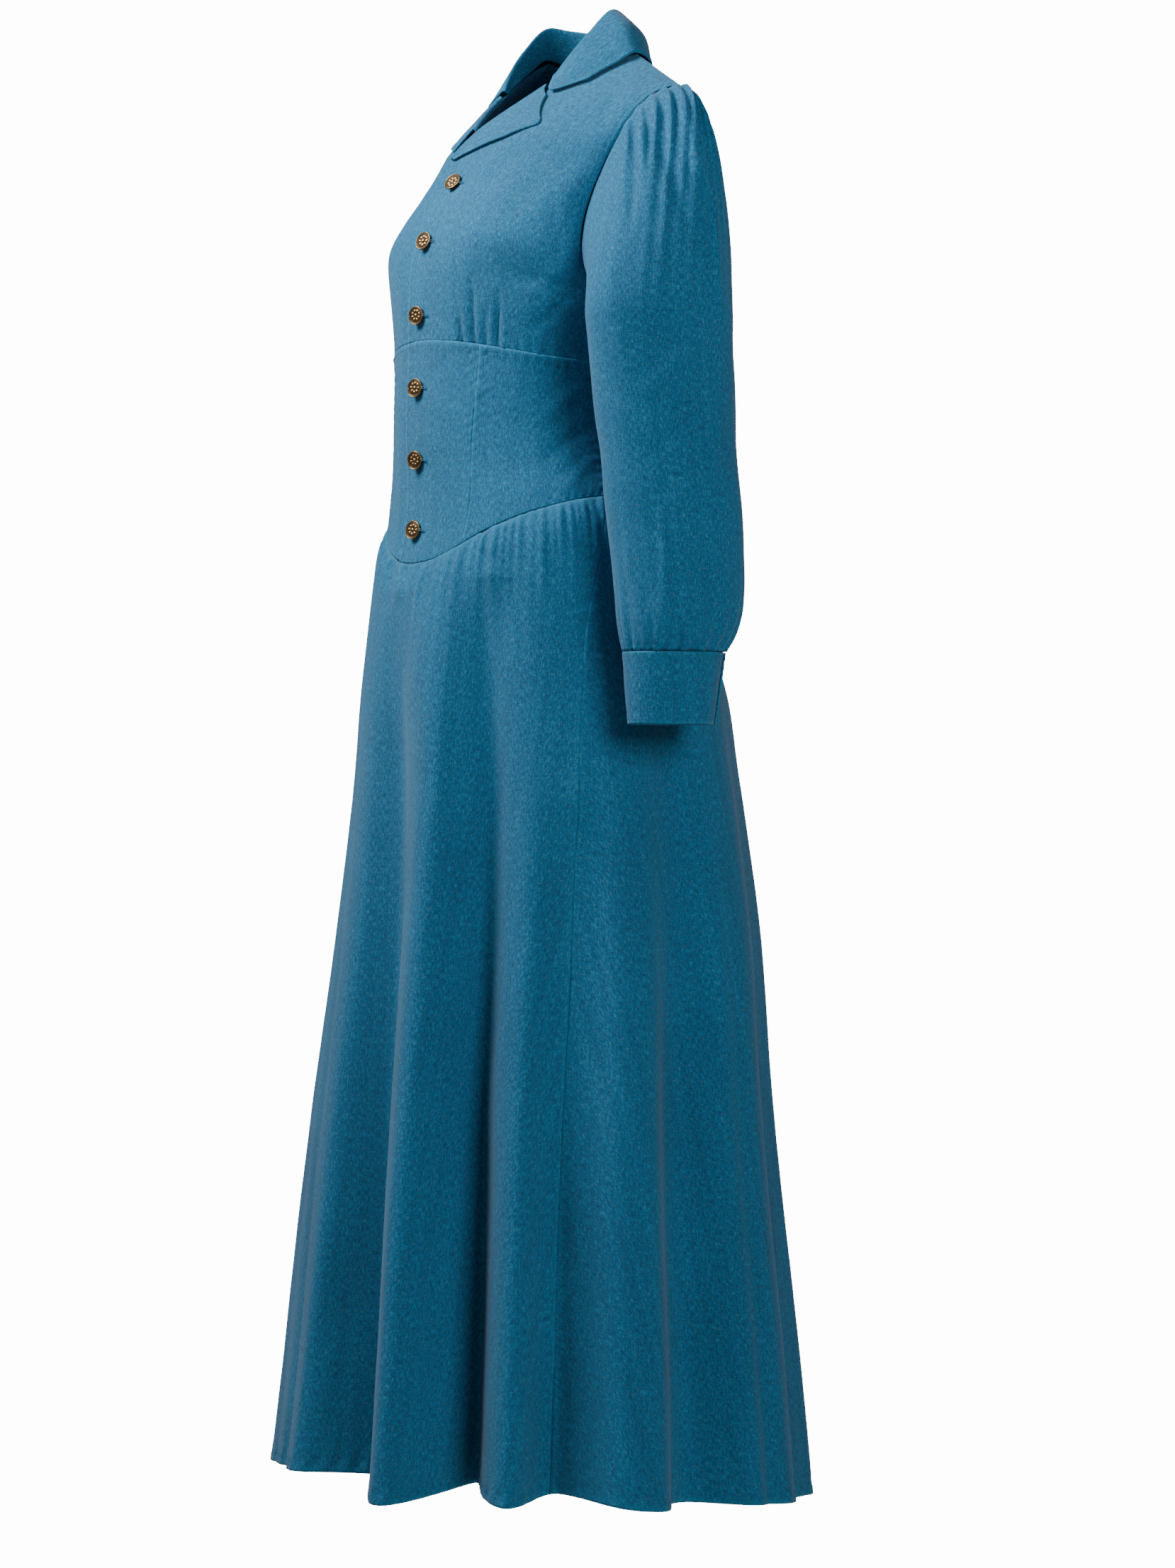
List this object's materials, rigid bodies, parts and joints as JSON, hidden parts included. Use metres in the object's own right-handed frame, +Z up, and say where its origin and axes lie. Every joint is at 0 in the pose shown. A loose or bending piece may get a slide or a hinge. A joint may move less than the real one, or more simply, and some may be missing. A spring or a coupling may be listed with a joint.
{
  "type": "denim maxi dress",
  "caption": "Long denim dress, filled out and hollow: notched collar, buttoned front, gathered sleeves with cuffs, fitted midriff with a pointed waist seam, full folded skirt.",
  "frame": {"origin": "midway between the two shoulder seams, where the wearer's shoulders hold the dress", "axes": "+Z up the body, -Y out of the dress's front, +X to the wearer's left"},
  "size_m": [0.5256, 0.4977, 1.4287],
  "materials": {
    "denim": "mid blue heathered twill, matt",
    "facing": "pale blue-grey facing, matt",
    "antique_brass": "antique brass, darkened recesses"
  },
  "bodies": {
    "root": {"bodice_front_left": "denim", "bodice_front_right": "denim", "bodice_back": "denim", "collar": "denim", "lapel_left": "denim", "lapel_right": "denim", "back_neck_facing": "facing", "midriff_front_left": "denim", "midriff_front_right": "denim", "midriff_side_left": "denim", "midriff_side_right": "denim", "midriff_back": "denim", "skirt_front": "denim", "skirt_back": "denim", "sleeve_left": "denim", "sleeve_right": "denim", "cuff_left": "denim", "cuff_right": "denim", "button_1": "antique_brass", "button_2": "antique_brass", "button_3": "antique_brass", "button_4": "antique_brass", "button_5": "antique_brass", "button_6": "antique_brass"}
  },
  "joints": []
}
